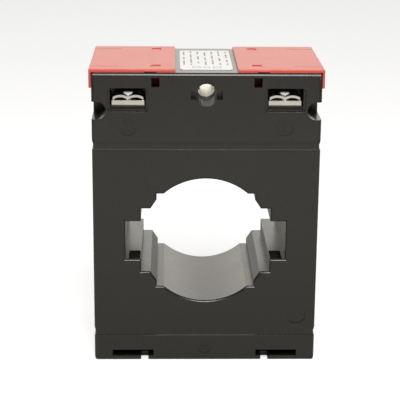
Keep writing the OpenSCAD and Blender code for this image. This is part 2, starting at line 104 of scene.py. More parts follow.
class Graph:
    """A thin wrapper that makes and joins shader nodes."""

    def __init__(self, tree: bpy.types.NodeTree) -> None:
        """Keeps the tree that nodes go into."""
        self.tree = tree

    def add(self, kind: str, **inputs: object) -> bpy.types.Node:
        """Adds a node.

        Args:
            kind: The node's type name, without its ShaderNode prefix.
            inputs: Attributes, or input values under names that start with in_.

        Returns:
            The new node.
        """
        node = self.tree.nodes.new("ShaderNode" + kind)
        for key, value in inputs.items():
            if key.startswith("in_"):
                node.inputs[key[3:].replace("_", " ")].default_value = value
            else:
                setattr(node, key, value)
        return node

    def join(self, source: bpy.types.NodeSocket, target: bpy.types.NodeSocket) -> None:
        """Links an output to an input."""
        self.tree.links.new(source, target)

    def math(self, operation: str, a: object, b: object = 0.0) -> bpy.types.NodeSocket:
        """Adds a Math node of two values, each a socket or a number, and returns its output."""
        node = self.add("Math", operation=operation)
        for index, value in enumerate((a, b)):
            if isinstance(value, bpy.types.NodeSocket):
                self.join(value, node.inputs[index])
            else:
                node.inputs[index].default_value = value
        return node.outputs[0]

    def mix(self, factor: bpy.types.NodeSocket, a: object, b: object) -> bpy.types.NodeSocket:
        """Adds a mix of two colours, each a socket or a colour, and returns its output."""
        node = self.add("Mix", data_type="RGBA")
        self.join(factor, node.inputs[MIX_FACTOR])
        for index, value in ((MIX_A, a), (MIX_B, b)):
            if isinstance(value, bpy.types.NodeSocket):
                self.join(value, node.inputs[index])
            else:
                node.inputs[index].default_value = rgba(value)
        return node.outputs[MIX_RESULT]


def make_group(
    name: str,
    inputs: Sequence[tuple[str, str, object]],
    outputs: Sequence[tuple[str, str]],
) -> tuple[bpy.types.NodeTree, Graph, bpy.types.Node, bpy.types.Node]:
    """Makes an empty shader node group.

    Args:
        name: The group's name.
        inputs: Name, socket type and default of each input.
        outputs: Name and socket type of each output.

    Returns:
        The group, its graph, its input node and its output node.
    """
    tree = bpy.data.node_groups.new(name, "ShaderNodeTree")
    for label, kind, default in inputs:
        socket = tree.interface.new_socket(name=label, in_out="INPUT", socket_type=kind)
        socket.default_value = default
    for label, kind in outputs:
        tree.interface.new_socket(name=label, in_out="OUTPUT", socket_type=kind)
    return tree, Graph(tree), tree.nodes.new("NodeGroupInput"), tree.nodes.new("NodeGroupOutput")


class EffectLibrary:
    """Node groups that several finishes share. They give out only colours and values."""

    def __init__(self) -> None:
        """Builds each group once."""
        self.mottle = self._mottle()
        self.grain = self._grain()
        self.handling = self._handling()

    @staticmethod
    def _mottle() -> bpy.types.NodeTree:
        """Slow, faint drift of a colour, as uneven pigment leaves."""
        tree, g, gin, gout = make_group(
            "colour_mottle",
            [
                ("Colour", "NodeSocketColor", (0.5, 0.5, 0.5, 1)),
                ("Scale", "NodeSocketFloat", 40.0),
                ("Amount", "NodeSocketFloat", 0.15),
            ],
            [("Colour", "NodeSocketColor")],
        )
        where = g.add("TexCoord")
        noise = g.add("TexNoise", in_Detail=4.0, in_Roughness=0.55)
        g.join(where.outputs["Object"], noise.inputs["Vector"])
        g.join(gin.outputs["Scale"], noise.inputs["Scale"])
        swing = g.math("SUBTRACT", noise.outputs[0], 0.5)
        factor = g.math("ADD", g.math("MULTIPLY", swing, gin.outputs["Amount"]), 1.0)
        scaled = g.add("VectorMath", operation="SCALE")
        g.join(gin.outputs["Colour"], scaled.inputs[0])
        g.join(factor, scaled.inputs["Scale"])
        g.join(scaled.outputs[0], gout.inputs["Colour"])
        return tree

    @staticmethod
    def _grain() -> bpy.types.NodeTree:
        """Height of a spark-eroded mould texture, with a slower waviness under it."""
        tree, g, gin, gout = make_group(
            "mould_grain",
            [
                ("Scale", "NodeSocketFloat", 2500.0),
                ("Wave", "NodeSocketFloat", 0.3),
            ],
            [("Height", "NodeSocketFloat")],
        )
        where = g.add("TexCoord")
        fine = g.add("TexNoise", in_Detail=2.0, in_Roughness=0.6)
        slow = g.add("TexNoise", in_Scale=55.0, in_Detail=1.0)
        for node in (fine, slow):
            g.join(where.outputs["Object"], node.inputs["Vector"])
        g.join(gin.outputs["Scale"], fine.inputs["Scale"])
        wave = g.math("MULTIPLY", slow.outputs[0], gin.outputs["Wave"])
        g.join(g.math("ADD", fine.outputs[0], wave), gout.inputs["Height"])
        return tree

    @staticmethod
    def _handling() -> bpy.types.NodeTree:
        """Roughness with faint smudges and dust specks."""
        tree, g, gin, gout = make_group(
            "handling_marks",
            [
                ("Roughness", "NodeSocketFloat", 0.4),
                ("Smudge", "NodeSocketFloat", 0.08),
            ],
            [("Roughness", "NodeSocketFloat"), ("Specks", "NodeSocketFloat")],
        )
        where = g.add("TexCoord")
        cloud = g.add("TexNoise", in_Scale=90.0, in_Detail=5.0, in_Roughness=0.65)
        dust = g.add("TexNoise", in_Scale=900.0, in_Detail=1.0)
        for node in (cloud, dust):
            g.join(where.outputs["Object"], node.inputs["Vector"])
        centred = g.math("SUBTRACT", cloud.outputs[0], 0.5)
        swing = g.math("MULTIPLY", centred, gin.outputs["Smudge"])
        specks = g.add("MapRange", in_From_Min=0.70, in_From_Max=0.78)
        g.join(dust.outputs[0], specks.inputs["Value"])
        g.join(g.math("ADD", gin.outputs["Roughness"], swing), gout.inputs["Roughness"])
        g.join(specks.outputs[0], gout.inputs["Specks"])
        return tree


def group_node(g: Graph, tree: bpy.types.NodeTree, **values: object) -> bpy.types.Node:
    """Places a node group in a material with its own values."""
    node = g.add("Group", node_tree=tree)
    for key, value in values.items():
        node.inputs[key].default_value = value
    return node


def start_material(name: str) -> tuple[bpy.types.Material, Graph, bpy.types.Node]:
    """Makes a material and returns it with its graph and its shader."""
    material = bpy.data.materials.new(name)
    material.use_nodes = True
    return material, Graph(material.node_tree), material.node_tree.nodes["Principled BSDF"]


def join_surface(
    g: Graph,
    shader: bpy.types.Node,
    colour: bpy.types.NodeSocket,
    roughness: bpy.types.NodeSocket,
    height: bpy.types.NodeSocket,
    depth: float,
) -> None:
    """Joins a colour, a roughness and a bump to a shader.

    Args:
        g: The material's graph.
        shader: The material's shader.
        colour: The base colour.
        roughness: The roughness.
        height: The bump's height, as a share of its depth.
        depth: The bump's depth, in metres.
    """
    bump = g.add("Bump", in_Strength=1.0, in_Distance=depth)
    g.join(height, bump.inputs["Height"])
    g.join(colour, shader.inputs["Base Color"])
    g.join(roughness, shader.inputs["Roughness"])
    g.join(bump.outputs[0], shader.inputs["Normal"])


# ------------------------------------------------------------------- finishes


@dataclass(frozen=True)
class MouldedPlastic:
    """A moulded plastic: pigment, gloss and the texture of its mould."""

    name: str
    slot: str
    colour: Colour
    roughness: float
    specular: float = 0.5
    mottle: float = 0.12
    mottle_scale: float = 60.0
    grain_scale: float = 3200.0
    grain_depth: float = 0.003
    wave: float = 2.0
    smudge: float = 0.08
    dust: float = 0.0

    def build(self, effects: EffectLibrary) -> bpy.types.Material:
        """Builds the material from its values."""
        material, g, shader = start_material(self.name)
        shader.inputs["Specular IOR Level"].default_value = self.specular
        mottle = group_node(
            g, effects.mottle,
            Colour=rgba(self.colour), Scale=self.mottle_scale, Amount=self.mottle,
        )
        marks = group_node(g, effects.handling, Roughness=self.roughness, Smudge=self.smudge)
        grain = group_node(g, effects.grain, Scale=self.grain_scale, Wave=self.wave)
        dust = g.math("MULTIPLY", marks.outputs["Specks"], self.dust)
        colour = g.mix(dust, mottle.outputs[0], DUST_COLOUR)
        join_surface(
            g, shader, colour, marks.outputs["Roughness"],
            grain.outputs["Height"], self.grain_depth * MM,
        )
        return material


@dataclass(frozen=True)
class PlatedMetal:
    """A rolled or drawn metal with a plated skin and fine marks along one direction."""

    name: str
    slot: str
    colour: Colour
    roughness: float
    stretch: tuple[float, float, float] = (1.0, 1.0, 1.0)
    line_scale: float = 1800.0
    line_depth: float = 0.006
    mottle: float = 0.2
    mottle_scale: float = 400.0
    smudge: float = 0.15

    def build(self, effects: EffectLibrary) -> bpy.types.Material:
        """Builds the material from its values."""
        material, g, shader = start_material(self.name)
        shader.inputs["Metallic"].default_value = 1.0
        mottle = group_node(
            g, effects.mottle,
            Colour=rgba(self.colour), Scale=self.mottle_scale, Amount=self.mottle,
        )
        marks = group_node(g, effects.handling, Roughness=self.roughness, Smudge=self.smudge)
        where = g.add("TexCoord")
        mapping = g.add("Mapping")
        mapping.inputs["Scale"].default_value = self.stretch
        lines = g.add("TexNoise", in_Scale=self.line_scale, in_Detail=3.0)
        g.join(where.outputs["Object"], mapping.inputs["Vector"])
        g.join(mapping.outputs[0], lines.inputs["Vector"])
        join_surface(
            g, shader, mottle.outputs[0], marks.outputs["Roughness"],
            lines.outputs[0], self.line_depth * MM,
        )
        return material


@dataclass(frozen=True)
class LaidLayers:
    """Wire, tape or strip laid about the window's axis, with a line at each turn."""

    name: str
    slot: str
    colour: Colour
    dark: Colour
    roughness: float
    turns: float
    radial: bool
    metallic: float = 0.0
    line_depth: float = 0.15
    smudge: float = 0.1

    def build(self, effects: EffectLibrary) -> bpy.types.Material:
        """Builds the material from its values."""
        material, g, shader = start_material(self.name)
        shader.inputs["Metallic"].default_value = self.metallic
        where = g.add("TexCoord")
        centred = g.add("Mapping")
        centred.inputs["Location"].default_value = (0.0, 0.0, -WINDOW_Z)
        apart = g.add("SeparateXYZ")
        g.join(where.outputs["Object"], centred.inputs["Vector"])
        g.join(centred.outputs[0], apart.inputs[0])
        if self.radial:
            around = g.math("ARCTAN2", apart.outputs["Z"], apart.outputs["X"])
            phase = g.math("MULTIPLY", around, self.turns)
        else:
            across, along = (g.math("POWER", apart.outputs[axis], 2.0) for axis in "XZ")
            out = g.math("SQRT", g.math("ADD", across, along))
            phase = g.math("MULTIPLY", out, self.turns / MM)
        wave = g.math("ABSOLUTE", g.math("SINE", phase))
        colour = g.mix(wave, self.dark, self.colour)
        marks = group_node(g, effects.handling, Roughness=self.roughness, Smudge=self.smudge)
        join_surface(g, shader, colour, marks.outputs["Roughness"], wave, self.line_depth * MM)
        return material


Finish = MouldedPlastic | PlatedMetal | LaidLayers


class FinishShop:
    """Every finish on the transformer, each built once."""

    def __init__(self) -> None:
        """Builds the shared effects and the materials."""
        effects = EffectLibrary()
        finishes: list[Finish] = [
            MouldedPlastic(
                "case_black", "case_black", (0.0075, 0.0062, 0.0040), 0.28, specular=0.6, dust=0.02
            ),
            MouldedPlastic(
                "cover_red", "cover_red", (0.52, 0.065, 0.042), 0.33, specular=0.35, mottle=0.05
            ),
            MouldedPlastic(
                "label_white", "label_white", (0.74, 0.74, 0.71), 0.45,
                specular=0.3, mottle=0.03, grain_depth=0.001,
            ),
            MouldedPlastic(
                "label_ink", "label_white", (0.24, 0.24, 0.23), 0.5, mottle=0.3, grain_depth=0.001
            ),
            MouldedPlastic("insulation", "insulation", (0.74, 0.66, 0.46), 0.5, mottle=0.1),
            MouldedPlastic(
                "foam_pad", "foam_pad", (0.06, 0.06, 0.06), 0.9, grain_scale=1500.0, grain_depth=0.2
            ),
            MouldedPlastic("lead_sleeve", "lead_sleeve", (0.42, 0.03, 0.03), 0.45),
            PlatedMetal(
                "nickel_plate", "nickel_plate", (0.72, 0.69, 0.62), 0.26, stretch=(1.0, 0.12, 1.0)
            ),
            PlatedMetal("zinc_steel", "zinc_steel", (0.76, 0.77, 0.78), 0.20),
            LaidLayers(
                "core_steel", "core_steel", (0.45, 0.46, 0.48), (0.16, 0.16, 0.17), 0.35,
                turns=9.0, radial=False, metallic=1.0,
            ),
            LaidLayers(
                "copper_wire", "copper_wire", (0.78, 0.36, 0.16), (0.25, 0.09, 0.04), 0.28,
                turns=60.0, radial=True, metallic=1.0,
            ),
            LaidLayers(
                "winding_tape", "insulation", (0.82, 0.76, 0.58), (0.60, 0.53, 0.36), 0.45,
                turns=14.0, radial=True,
            ),
        ]
        self.slots = {f.name: f.slot for f in finishes}
        self.materials = {f.name: f.build(effects) for f in finishes}

    def dress(self, piece: bpy.types.Object, name: str) -> None:
        """Gives a piece one finish."""
        piece.data.materials.clear()
        piece.data.materials.append(self.materials[name])


# ---------------------------------------------------------------- mesh helpers


def new_piece(name: str, bm: bmesh.types.BMesh) -> bpy.types.Object:
    """Turns an edit mesh into a smooth-shaded object with sharp edges kept.

    Args:
        name: The new object's name.
        bm: The edit mesh, which is freed.

    Returns:
        The new object, linked to the scene.
    """
    shade(bm)
    mesh = bpy.data.meshes.new(name)
    bm.to_mesh(mesh)
    bm.free()
    piece = bpy.data.objects.new(name, mesh)
    bpy.context.scene.collection.objects.link(piece)
    weighted = piece.modifiers.new("even_shading", "WEIGHTED_NORMAL")
    weighted.keep_sharp = True
    weighted.weight = NORMAL_WEIGHT
    return piece


def shade(bm: bmesh.types.BMesh) -> None:
    """Orients an edit mesh's faces and marks its edges smooth or sharp by their angle."""
    bmesh.ops.recalc_face_normals(bm, faces=bm.faces)
    for face in bm.faces:
        face.smooth = True
    for edge in bm.edges:
        edge.smooth = len(edge.link_faces) == 2 and edge.calc_face_angle(0.0) < SMOOTH_ANGLE


def refill(piece: bpy.types.Object, bm: bmesh.types.BMesh) -> None:
    """Gives a piece a new mesh from an edit mesh, which is freed."""
    shade(bm)
    bm.to_mesh(piece.data)
    bm.free()


def subtract(piece: bpy.types.Object, cutter_bm: bmesh.types.BMesh) -> None:
    """Cuts closed shapes out of a piece and keeps the result as its mesh."""
    bmesh.ops.recalc_face_normals(cutter_bm, faces=cutter_bm.faces)
    mesh = bpy.data.meshes.new("cutter")
    cutter_bm.to_mesh(mesh)
    cutter_bm.free()
    cutter = bpy.data.objects.new("cutter", mesh)
    bpy.context.scene.collection.objects.link(cutter)
    cut = piece.modifiers.new("cut", "BOOLEAN")
    cut.operation, cut.solver, cut.object = "DIFFERENCE", "EXACT", cutter
    piece.modifiers.move(len(piece.modifiers) - 1, 0)
    held = [m for m in piece.modifiers if m != cut]
    for m in held:
        m.show_viewport = False
    depsgraph = bpy.context.evaluated_depsgraph_get()
    result = bpy.data.meshes.new_from_object(piece.evaluated_get(depsgraph))
    for m in held:
        m.show_viewport = True
    piece.modifiers.remove(cut)
    old = piece.data
    piece.data = result
    bpy.data.meshes.remove(old)
    bpy.data.objects.remove(cutter)
    bpy.data.meshes.remove(mesh)


def add_block(bm: bmesh.types.BMesh, low: Vector, high: Vector) -> None:
    """Adds a closed block between two corners to an edit mesh."""
    around = ((low.x, low.y), (high.x, low.y), (high.x, high.y), (low.x, high.y))
    corner = [bm.verts.new((x, y, z)) for z in (low.z, high.z) for x, y in around]
    sides = [(i, (i + 1) % 4, 4 + (i + 1) % 4, 4 + i) for i in range(4)]
    for face in ((3, 2, 1, 0), (4, 5, 6, 7), *sides):
        bm.faces.new([corner[i] for i in face])


def add_pill(
    bm: bmesh.types.BMesh,
    centre: Vector,
    width: float,
    length: float,
    radius: float,
    height: float,
) -> None:
    """Adds a closed upright block with round corners, standing on its centre, to an edit mesh."""
    base, top = [], []
    for sx, sy, start in ((1, 1, 0), (-1, 1, 90), (-1, -1, 180), (1, -1, 270)):
        for i in range(PILL_STEPS + 1):
            a = math.radians(start + 90 * i / PILL_STEPS)
            x = centre.x + sx * (width / 2 - radius) + radius * math.cos(a)
            y = centre.y + sy * (length / 2 - radius) + radius * math.sin(a)
            base.append(bm.verts.new((x, y, centre.z)))
            top.append(bm.verts.new((x, y, centre.z + height)))
    bm.faces.new(base[::-1])
    bm.faces.new(top)
    for i in range(len(base)):
        j = (i + 1) % len(base)
        bm.faces.new((base[i], base[j], top[j], top[i]))


def welded_copy(node: bpy.types.Object) -> bmesh.types.BMesh:
    """An edit mesh of a frame node with its seams welded and its flat areas joined."""
    bm = bmesh.new()
    bm.from_mesh(node.data)
    bmesh.ops.remove_doubles(bm, verts=bm.verts, dist=WELD_DIST)
    bmesh.ops.dissolve_limit(
        bm, angle_limit=FLAT_ANGLE, verts=bm.verts, edges=bm.edges, use_dissolve_boundaries=False
    )
    return bm


def round_edges(
    bm: bmesh.types.BMesh,
    edges: list[bmesh.types.BMEdge],
    width: float,
    segments: int,
    clamp: bool = True,
) -> None:
    """Rounds some edges of an edit mesh.

    Args:
        bm: The edit mesh.
        edges: The edges to round.
        width: The rounding's size on each face, in metres.
        segments: How many strips make the rounding.
        clamp: Whether the width gives way where edges come close together.
    """
    if edges:
        bmesh.ops.bevel(
            bm, geom=edges, offset=width, offset_type="OFFSET", segments=segments, profile=0.5,
            affect="EDGES", clamp_overlap=clamp, loop_slide=True,
        )


def is_convex(edge: bmesh.types.BMEdge, least: float = CORNER_ANGLE) -> bool:
    """Whether an edge stands out and turns by more than an angle, in radians."""
    if len(edge.link_faces) != 2:
        return False
    return edge.calc_face_angle(0.0) > least and edge.is_convex


def middle(edge: bmesh.types.BMEdge) -> Vector:
    """The middle of an edge."""
    return (edge.verts[0].co + edge.verts[1].co) / 2


# ------------------------------------------------------------- sub-assemblies


@dataclass
class MouldedCase:
    """The two halves of the case, with rounded lips, mouths and seams."""

    nodes: dict[str, bpy.types.Object]
    shop: FinishShop
    window_r: float = 33.5 * MM
    window_reach: float = 0.6 * MM
    lips_z: tuple[float, float] = (10.4 * MM, 85.1 * MM)
    terminal_x: float = 29.4 * MM
    terminal_half: float = 8.2 * MM
    terminal_z: float = 98 * MM
    seam_run: float = 0.9 * MM
    near: float = 0.03 * MM
    steep: float = math.radians(60)
    sloping: float = math.radians(35)
    widths: dict[Zone, tuple[float, int]] = field(
        default_factory=lambda: {
            Zone.WINDOW: (0.9 * MM, 5),
            Zone.POCKET: (0.45 * MM, 3),
            Zone.HOLE: (0.3 * MM, 3),
            Zone.LIP: (0.22 * MM, 2),
            Zone.SEAM: (0.25 * MM, 1),
        }
    )

    def zone_of(self, edge: bmesh.types.BMEdge, face_y: float) -> Zone | None:
        """Says which rounding an edge gets, or none.

        Args:
            edge: The edge.
            face_y: Where the half's outer face lies.

        Returns:
            The edge's zone, or None where it stays as it is.
        """
        m = middle(edge)
        turn = edge.calc_face_angle(0.0)
        if all(abs(v.co.y) < self.near for v in edge.verts):
            return Zone.SEAM if is_convex(edge, self.steep) else None
        if not edge.is_convex:
            return None
        on_face = all(abs(v.co.y - face_y) < self.near for v in edge.verts) and turn > self.steep
        if on_face and math.hypot(m.x, m.z - WINDOW_Z) < self.window_r:
            return Zone.WINDOW
        level = abs(edge.verts[0].co.z - edge.verts[1].co.z) < self.near
        at_lip = any(abs(v.co.z - z) < self.near for z in self.lips_z for v in edge.verts)
        if level and at_lip and turn > self.sloping:
            return Zone.LIP
        if on_face:
            beside = abs(abs(m.x) - self.terminal_x) < self.terminal_half
            return Zone.POCKET if beside and m.z > self.terminal_z else Zone.HOLE
        return None

    def open_seam(self, bm: bmesh.types.BMesh) -> None:
        """Draws the seam's rounding in the window back along the wall, so that the joint shows."""
        step = self.widths[Zone.SEAM][0]
        reach = self.window_r + self.window_reach
        for v in bm.verts:
            inside = math.hypot(v.co.x, v.co.z - WINDOW_Z) < reach
            if inside and abs(v.co.y + step) < 2 * TOUCH:
                v.co.y = -self.seam_run

    def half(self, node_name: str) -> bpy.types.Object:
        """Builds one half of the case from its node's solid shape.

        Args:
            node_name: The node that the half stands for.

        Returns:
            The finished piece.
        """
        low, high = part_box(node_name)
        face_y = low.y if abs(low.y) > abs(high.y) else high.y
        bm = welded_copy(self.nodes[node_name])
        for zone in (Zone.WINDOW, Zone.POCKET, Zone.HOLE, Zone.LIP, Zone.SEAM):
            bm.edges.ensure_lookup_table()
            chosen = [e for e in bm.edges if self.zone_of(e, face_y) is zone]
            width, segments = self.widths[zone]
            round_edges(bm, chosen, width, segments, clamp=zone is not Zone.WINDOW)
        if face_y < 0:
            self.open_seam(bm)
        piece = new_piece(f"moulded_{node_name}", bm)
        self.shop.dress(piece, "case_black")
        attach(piece, "case")
        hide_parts(node_name)
        log.info("%s: %d faces", piece.name, len(piece.data.polygons))
        return piece

    def build(self) -> None:
        """Builds both halves."""
        for node_name in ("front_shell", "rear_shell"):
            self.half(node_name)


@dataclass
class TerminalCover:
    """A red snap-on cover: a lipped plate with a side flap, recesses, a finger tab and hooks."""

    side: Side
    shop: FinishShop
    lip_lean: float = 0.2 * MM
    flap_t: float = 0.85 * MM
    plate_t: float = 1.06 * MM
    edge_r: float = 0.38 * MM
    recess: float = 0.25 * MM
    hook_x: float = 19.1 * MM
    hook_y: float = 18.3 * MM
    hook_size: tuple[float, float] = (3.0 * MM, 1.4 * MM)
    pad_size: tuple[float, float] = (3.8 * MM, 5.2 * MM)
    tab_x: float = 21.2 * MM
    tab_size: tuple[float, float, float] = (4.4 * MM, 0.45 * MM, 0.62 * MM)
    tab_rise: float = 0.12 * MM
    tab_root: float = 0.6 * MM
    tab_r: float = 0.3 * MM
    hook_drop: float = 6 * MM
    hook_root: float = 0.3 * MM
    pad_r: float = 1.2 * MM
    groove: tuple[float, float, float] = (11.0 * MM, 0.45 * MM, 19.0 * MM)
    groove_r: float = 0.2 * MM
    cutter_h: float = 2 * MM

    def plate(self, low: Vector, high: Vector) -> bmesh.types.BMesh:
        """The plate and its flap: one profile drawn along the lip, with round outer edges."""
        x0, x1, y1 = self.inner_x, high.x, high.y
        base, top = high.z - self.plate_t, high.z
        bm = bmesh.new()
        rings = []
        for y, lean in ((-y1, 1), (y1, -1)):
            ring = []
            for x, z in (
                (x0, base), (x1 - self.flap_t, base), (x1 - self.flap_t, low.z),
                (x1, low.z), (x1, top), (x0, top),
            ):
                rise = max(0.0, (z - base) / self.plate_t)
                ring.append(bm.verts.new((x, y + lean * self.lip_lean * rise, z)))
            rings.append(ring)
        bm.faces.new(rings[0])
        bm.faces.new(rings[1][::-1])
        for i in range(len(ring)):
            j = (i + 1) % len(ring)
            bm.faces.new((rings[0][i], rings[1][i], rings[1][j], rings[0][j]))
        bmesh.ops.recalc_face_normals(bm, faces=bm.faces)
        outer = [e for e in bm.edges if is_convex(e) and not self.is_hidden(e, base, x1)]
        round_edges(bm, outer, self.edge_r, segments=5)
        return bm

    def is_hidden(self, edge: bmesh.types.BMEdge, base: float, x1: float) -> bool:
        """Whether an edge lies against the case, where it stays sharp."""
        inner_face = all(v.co.x < x1 - self.flap_t + TOUCH for v in edge.verts)
        return inner_face and all(v.co.z < base + TOUCH for v in edge.verts)

    def carve(self, piece: bpy.types.Object, high: Vector) -> None:
        """Sinks the two recesses over the hooks and the two short grooves into the top."""
        bm = bmesh.new()
        floor_z = high.z - self.recess
        length, width, y = self.groove
        for end in (-1, 1):
            pad = Vector((self.hook_x, end * self.hook_y, floor_z))
            add_pill(bm, pad, *self.pad_size, self.pad_r, self.cutter_h)
            line = Vector((high.x - length / 2, end * y, floor_z))
            add_pill(bm, line, length, width, self.groove_r, self.cutter_h)
        subtract(piece, bm)

    def extras(self, high: Vector) -> bmesh.types.BMesh:
        """The finger tab and the snap hooks, as closed shapes of their own."""
        bm = bmesh.new()
        base = high.z - self.plate_t
        wide, out, tall = self.tab_size
        bottom = base + self.tab_rise
        add_block(
            bm,
            Vector((self.tab_x - wide / 2, -high.y - out, bottom)),
            Vector((self.tab_x + wide / 2, -high.y + self.tab_root, bottom + tall)),
        )
        bmesh.ops.recalc_face_normals(bm, faces=bm.faces)
        outer = [e for e in bm.edges if e.is_convex and middle(e).y < -high.y]
        round_edges(bm, outer, self.tab_r, segments=4)
        hook_w, hook_t = self.hook_size
        for end in (-1, 1):
            y = end * self.hook_y
            add_block(
                bm,
                Vector((self.hook_x - hook_w / 2, y - hook_t / 2, base - self.hook_drop)),
                Vector((self.hook_x + hook_w / 2, y + hook_t / 2, base + self.hook_root)),
            )
        return bm

    @property
    def inner_x(self) -> float:
        """Where the plate starts, out from the middle of the case."""
        low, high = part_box(f"{self.side.word}_terminal_cover")
        return min(abs(low.x), abs(high.x))

    def build(self) -> bpy.types.Object:
        """Builds the cover inside its node's box. The left one is the right one mirrored."""
        name = f"{self.side.word}_terminal_cover"
        low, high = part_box("right_terminal_cover")
        piece = new_piece(f"moulded_{name}", self.plate(low, high))
        self.carve(piece, high)
        bm = bmesh.new()
        bm.from_mesh(piece.data)
        extra = bpy.data.meshes.new("extras")
        shapes = self.extras(high)
        shapes.to_mesh(extra)
        shapes.free()
        bm.from_mesh(extra)
        bpy.data.meshes.remove(extra)
        if self.side is Side.LEFT:
            bmesh.ops.transform(bm, matrix=Matrix.Scale(-1, 4, Vector((1, 0, 0))), verts=bm.verts)
        refill(piece, bm)
        self.shop.dress(piece, "cover_red")
        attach(piece, f"{self.side.word}_cover")
        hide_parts(name)
        log.info("%s: %d faces", piece.name, len(piece.data.polygons))
        return piece


@dataclass
class RatingLabel:
    """A thin white film with rounded corners and generic printed bars."""

    shop: FinishShop
    corner_r: float = 1.6 * MM
    corner_steps: int = 6
    ink_t: float = 0.02 * MM
    ink_root: float = 0.005 * MM
    rows: int = 7
    side_margin: float = 1.6 * MM
    front_margin: float = 9.5 * MM
    back_margin: float = 1.6 * MM
    bar_half: float = 0.32 * MM
    bar_gap: float = 0.45 * MM
    bar_room: float = 1.2 * MM
    bar_lengths: tuple[float, ...] = tuple((1.1 + 0.9 * k) * MM for k in range(4))
    mark_y: float = 4.6 * MM
    mark_line: float = 0.3 * MM
    marks: tuple[tuple[float, float], ...] = (
        (6.2 * MM, 1.5 * MM),
        (10.1 * MM, 1.2 * MM),
        (14.0 * MM, 1.5 * MM),
    )

    def outline(self, low: Vector, high: Vector) -> list[tuple[float, float]]:
        """The label's outline, with round corners."""
        points = []
        r = self.corner_r
        for cx, cy, start in (
            (high.x - r, high.y - r, 0), (low.x + r, high.y - r, 90),
            (low.x + r, low.y + r, 180), (high.x - r, low.y + r, 270),
        ):
            for i in range(self.corner_steps + 1):
                a = math.radians(start + 90 * i / self.corner_steps)
                points.append((cx + r * math.cos(a), cy + r * math.sin(a)))
        return points

    def build(self) -> None:
        """Builds the film and its print."""
        low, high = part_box("rating_label")
        bm = bmesh.new()
        loop = [bm.verts.new((x, y, low.z)) for x, y in self.outline(low, high)]
        face = bm.faces.new(loop)
        made = bmesh.ops.extrude_face_region(bm, geom=[face])["geom"]
        top_z = high.z - self.ink_t
        for v in made:
            if isinstance(v, bmesh.types.BMVert):
                v.co.z = top_z
        film = new_piece("label_film", bm)
        self.shop.dress(film, "label_white")
        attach(film, "case")
        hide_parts("rating_label")
        ink = self.print_bars(low, high, top_z)
        self.shop.dress(ink, "label_ink")
        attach(ink, "case")
        log.info("label: film and %d print faces", len(ink.data.polygons))

    def print_bars(self, low: Vector, high: Vector, z: float) -> bpy.types.Object:
        """Rows of plain bars that stand for print, and three plain shapes in front of them."""
        bm = bmesh.new()

        def bar(x0: float, x1: float, y0: float, y1: float) -> None:
            """Adds one printed bar."""
            add_block(bm, Vector((x0, y0, z - self.ink_root)), Vector((x1, y1, z + self.ink_t)))

        spread = high.x - low.x - 2 * self.side_margin
        back = high.y - self.back_margin
        for row in range(self.rows):
            x = low.x + self.side_margin + row * spread / (self.rows - 1)
            y, step = low.y + self.front_margin, 0
            while y < back - self.bar_room:
                length = self.bar_lengths[(row * 5 + step * 3) % len(self.bar_lengths)]
                blank = (row * 3 + step * 2) % 7 in (5, 6)
                if not blank:
                    bar(x - self.bar_half, x + self.bar_half, y, min(y + length, back))
                y += length + self.bar_gap
                step += 1
        t = self.mark_line
        for out, h in self.marks:
            cx, cy = low.x + out, low.y + self.mark_y
            bar(cx - h, cx + h, cy - h, cy - h + t)
            bar(cx - h, cx + h, cy + h - t, cy + h)
            bar(cx - h, cx - h + t, cy - h + t, cy + h - t)
            bar(cx + h - t, cx + h, cy - h + t, cy + h - t)
        return new_piece("label_print", bm)


@dataclass
class ClampTerminal:
    """One terminal: bar, saddle, screw and nut, with softened metal edges."""

    side: Side
    nodes: dict[str, bpy.types.Object]
    shop: FinishShop
    edge_r: float = 0.1 * MM

    def softened(self, node_name: str, body: str, finish: str) -> None:
        """Builds one metal piece from its node's solid shape, with its edges rounded."""
        bm = welded_copy(self.nodes[node_name])
        round_edges(bm, [e for e in bm.edges if is_convex(e)], self.edge_r, segments=2)
        piece = new_piece(f"finished_{node_name}", bm)
        self.shop.dress(piece, finish)
        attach(piece, body)
        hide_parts(node_name)
        log.info("%s: %d faces", piece.name, len(piece.data.polygons))

    def build(self) -> None:
        """Builds the terminal's four pieces."""
        s = self.side.word
        self.softened(f"{s}_terminal_bar", "case", "nickel_plate")
        self.softened(f"{s}_clamp_saddle", f"{s}_clamp", "nickel_plate")
        self.softened(f"{s}_terminal_screw", f"{s}_screw", "zinc_steel")
        self.softened(f"{s}_square_nut", "case", "zinc_steel")


@dataclass
class InnerParts:
    """Everything sealed in the case, on its own solid shapes."""

    nodes: dict[str, bpy.types.Object]
    shop: FinishShop
    finishes: dict[str, str] = field(
        default_factory=lambda: {
            "fixing_sleeve": "nickel_plate",
            "strip_core": "core_steel",
            "front_core_cup": "insulation",
            "rear_core_cup": "insulation",
            "secondary_winding": "copper_wire",
            "winding_tape": "winding_tape",
            "front_core_pad": "foam_pad",
            "rear_core_pad": "foam_pad",
            "left_lead_wire": "lead_sleeve",
            "right_lead_wire": "lead_sleeve",
        }
    )

    def build(self) -> None:
        """Dresses each inner node."""
        for name, finish in self.finishes.items():
            self.shop.dress(self.nodes[name], finish)
            log.info("%s dressed as %s", name, finish)


# ---------------------------------------------------------------------- studio


@dataclass(frozen=True)
class SoftLamp:
    """A soft rectangular lamp."""

    name: str
    place: tuple[float, float, float]
    size: tuple[float, float]
    watts: float


